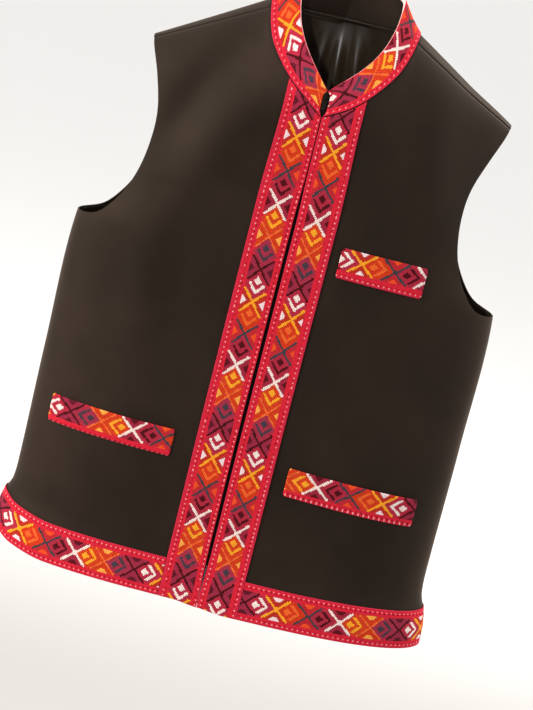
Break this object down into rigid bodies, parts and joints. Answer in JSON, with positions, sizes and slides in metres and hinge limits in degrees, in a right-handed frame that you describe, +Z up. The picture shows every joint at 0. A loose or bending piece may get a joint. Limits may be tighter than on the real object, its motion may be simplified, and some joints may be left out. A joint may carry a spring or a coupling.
{
  "type": "zipped vest with stand collar",
  "caption": "Sleeveless vest with a stand collar, closed front zip, welt pockets and a woven geometric trim at collar, fronts, hem and pockets, filled out with no wearer.",
  "frame": {"origin": "between the shoulders, level with their highest line at the neck, where a form inside holds the garment", "axes": "+Z up along the garment, -Y towards the front with the zip, +X towards the wearer's left"},
  "size_m": [0.5288, 0.1538, 0.7312],
  "materials": {
    "suiting": "matt worsted suiting",
    "lining": "satin",
    "woven_trim": "woven band, matt",
    "zip_tape": "matt tape",
    "zip_metal": "blackened, satin"
  },
  "bodies": {
    "garment": {"front_right": "suiting", "front_left": "suiting", "back": "suiting", "collar_stand": "suiting", "back_lining": "lining", "collar_trim": "woven_trim", "front_trim_right": "woven_trim", "front_trim_left": "woven_trim", "hem_trim_right": "woven_trim", "hem_trim_left": "woven_trim", "hem_trim_back": "woven_trim", "chest_welt": "woven_trim", "pocket_welt_left": "woven_trim", "pocket_welt_right": "woven_trim", "zip_tape_right": "zip_tape", "zip_tape_left": "zip_tape", "zip_chain": "zip_metal", "zip_slider": "zip_metal"},
    "pull_tab": {"zip_pull_tab": "zip_metal"}
  },
  "joints": [
    {"name": "pull_tab_hinge", "type": "hinge", "parent": "garment", "child": "pull_tab", "pos_m": [0, -0.0557, -0.08677], "axis": [-1, 0, 0], "range_deg": [0, 160]}
  ]
}
